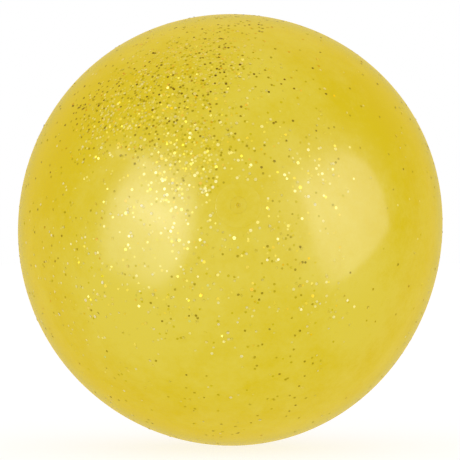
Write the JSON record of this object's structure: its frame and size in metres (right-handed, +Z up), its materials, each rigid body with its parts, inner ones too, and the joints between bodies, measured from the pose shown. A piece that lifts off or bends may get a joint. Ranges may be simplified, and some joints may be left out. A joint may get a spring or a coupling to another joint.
{
  "type": "bouncy play ball",
  "caption": "Soft hollow play ball of clear yellow vinyl with foil glitter cast in its skin and a flush needle valve on one side.",
  "frame": {"origin": "middle of the ball, which is the middle of its box", "axes": "+Z up as the ball stands in the picture, the ball's longest way; -Y towards the viewer, where the valve is; +X to the viewer's right"},
  "size_m": [0.2203, 0.22, 0.2238],
  "materials": {
    "clear_yellow_vinyl": "high gloss, translucent, moulded PVC",
    "plain_yellow_vinyl": "gloss, translucent, moulded PVC without glitter",
    "valve_rubber": "satin soft PVC",
    "gold_foil": "mirror-bright metallised film, gold lacquer",
    "silver_foil": "mirror-bright metallised film, faintly iridescent"
  },
  "bodies": {
    "ball": {"ball_skin": "clear_yellow_vinyl", "valve_seat": "plain_yellow_vinyl", "glitter_gold": "gold_foil", "glitter_silver": "silver_foil"},
    "plug": {"valve_plug": "valve_rubber"}
  },
  "joints": [
    {"name": "plug_pull", "type": "slide", "parent": "ball", "child": "plug", "axis": [0.0347, -0.9939, 0.1045], "range_m": [0, 0.014]}
  ]
}
